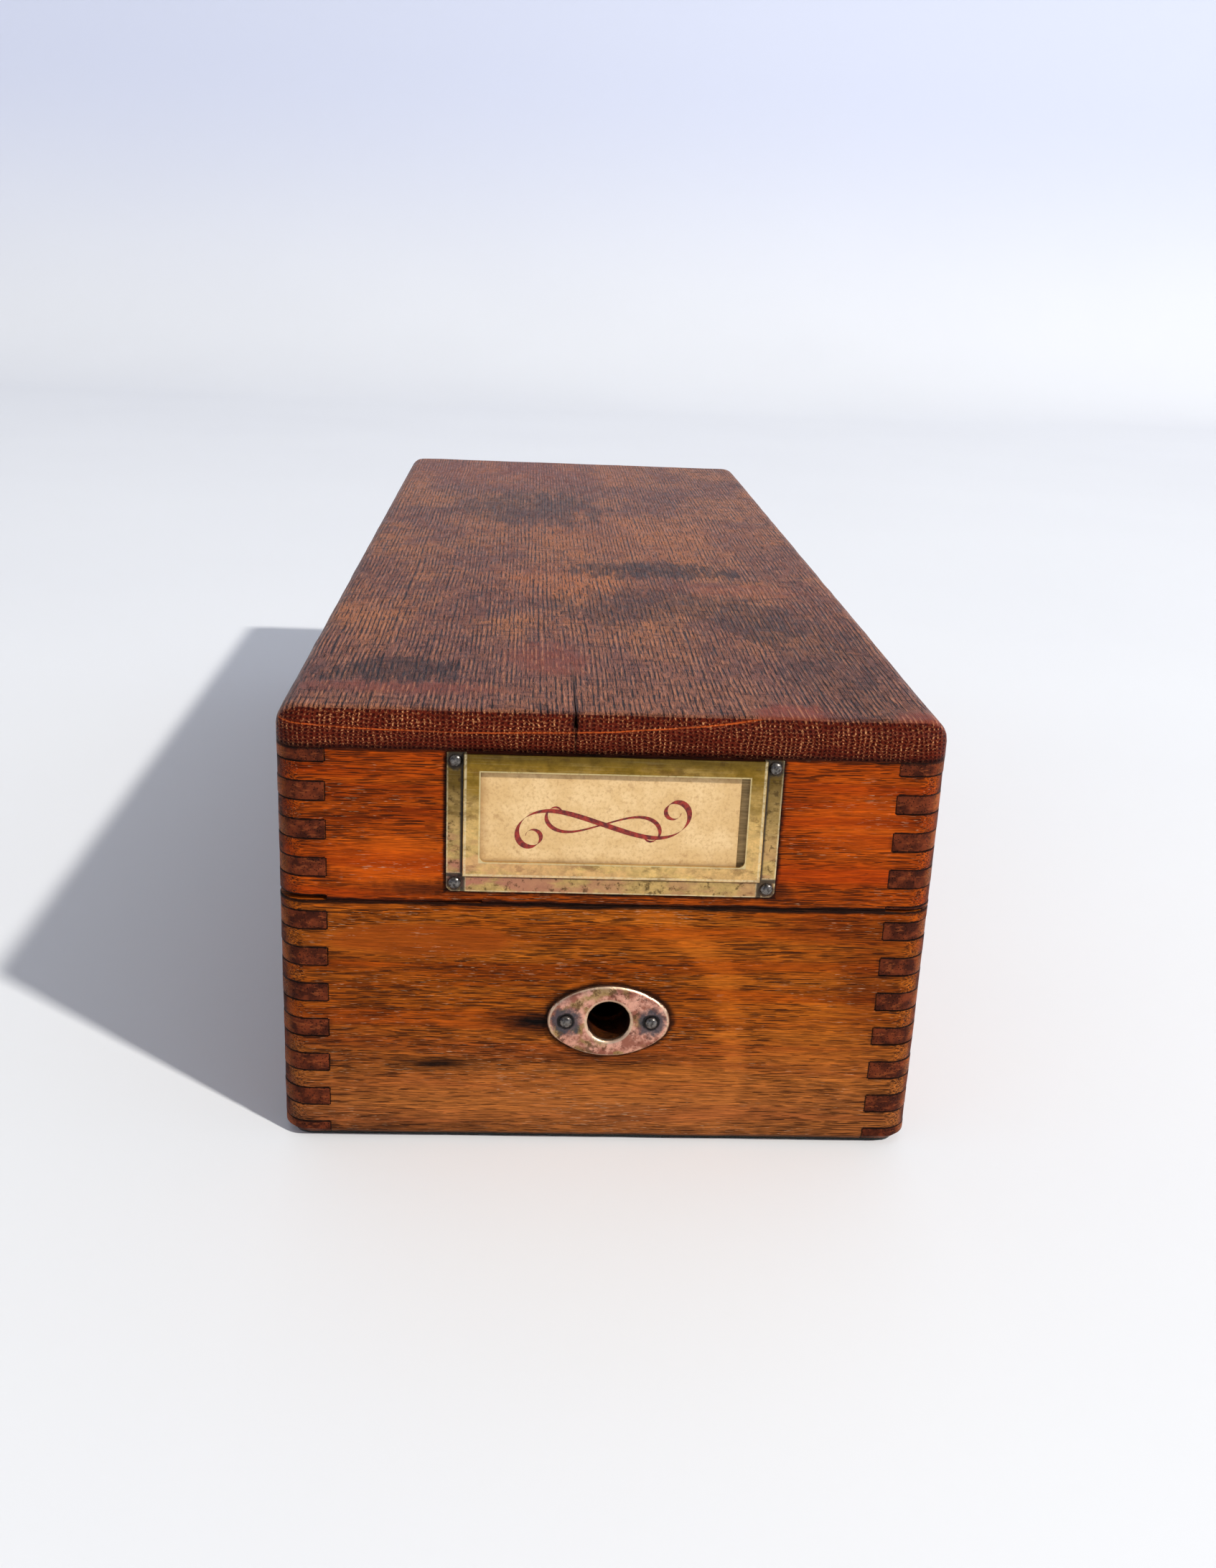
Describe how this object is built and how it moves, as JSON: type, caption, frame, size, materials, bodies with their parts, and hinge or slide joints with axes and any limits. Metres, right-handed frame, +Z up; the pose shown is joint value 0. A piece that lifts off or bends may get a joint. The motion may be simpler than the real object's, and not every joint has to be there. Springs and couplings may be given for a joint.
{
  "type": "library card box",
  "caption": "Long finger-jointed oak card box with a hinged lid, a label holder, an oval rod plate and a sliding card follower on a slotted floor.",
  "frame": {"origin": "middle of the underside, on the face of the felt", "axes": "+X to the right seen from the front, +Y from the front to the hinged back, +Z up"},
  "size_m": [0.158, 0.447, 0.112],
  "materials": {
    "base_oak": "satin varnish",
    "lid_oak": "satin varnish",
    "panel_oak": "satin varnish",
    "inner_wood": "bare, aged",
    "felt": "matt",
    "holder_brass": "patinated",
    "copper_plate": "patinated",
    "hinge_brass": "patinated",
    "steel": "dulled",
    "card_paper": "aged"
  },
  "bodies": {
    "base": {"base_front": "base_oak", "base_back": "base_oak", "base_side_left": "base_oak", "base_side_right": "base_oak", "felt": "felt", "bottom_board": "inner_wood", "bottom_brads": "steel", "floor_cleat_left": "inner_wood", "floor_cleat_right": "inner_wood", "floor_board_left": "inner_wood", "floor_board_right": "inner_wood", "rod_plate": "copper_plate", "rod_plate_pins": "steel", "hinge_left_base_leaf": "hinge_brass", "hinge_right_base_leaf": "hinge_brass", "hinge_left_pin": "hinge_brass", "hinge_right_pin": "hinge_brass", "base_hinge_screws": "hinge_brass"},
    "lid": {"lid_panel": "panel_oak", "lid_front": "lid_oak", "lid_back": "lid_oak", "lid_side_left": "lid_oak", "lid_side_right": "lid_oak", "hinge_left_lid_leaf": "hinge_brass", "hinge_right_lid_leaf": "hinge_brass", "lid_hinge_screws": "hinge_brass", "label_holder": "holder_brass", "label_holder_pins": "steel"},
    "card": {"label_card": "card_paper"},
    "follower": {"follower_support": "inner_wood", "follower_bracket": "steel", "follower_screws": "steel", "slot_guide": "hinge_brass", "clamp_plate": "steel", "clamp_stud": "steel", "clamp_washer": "steel"},
    "nut": {"thumb_nut": "hinge_brass"}
  },
  "joints": [
    {"name": "lid_hinge", "type": "hinge", "parent": "base", "child": "lid", "pos_m": [0, 0.22255, 0.0649], "axis": [-1, 0, 0], "range_deg": [0, 180]},
    {"name": "card_slide", "type": "slide", "parent": "lid", "child": "card", "axis": [0, 0, 1], "range_m": [0, 0.03]},
    {"name": "follower_slide", "type": "slide", "parent": "base", "child": "follower", "axis": [0, -1, 0], "range_m": [-0.027, 0.325]},
    {"name": "thumb_nut_turn", "type": "hinge", "parent": "follower", "child": "nut", "pos_m": [0, 0.156, 0.0263], "axis": [0, 0, 1], "range_deg": [0, 180]}
  ]
}
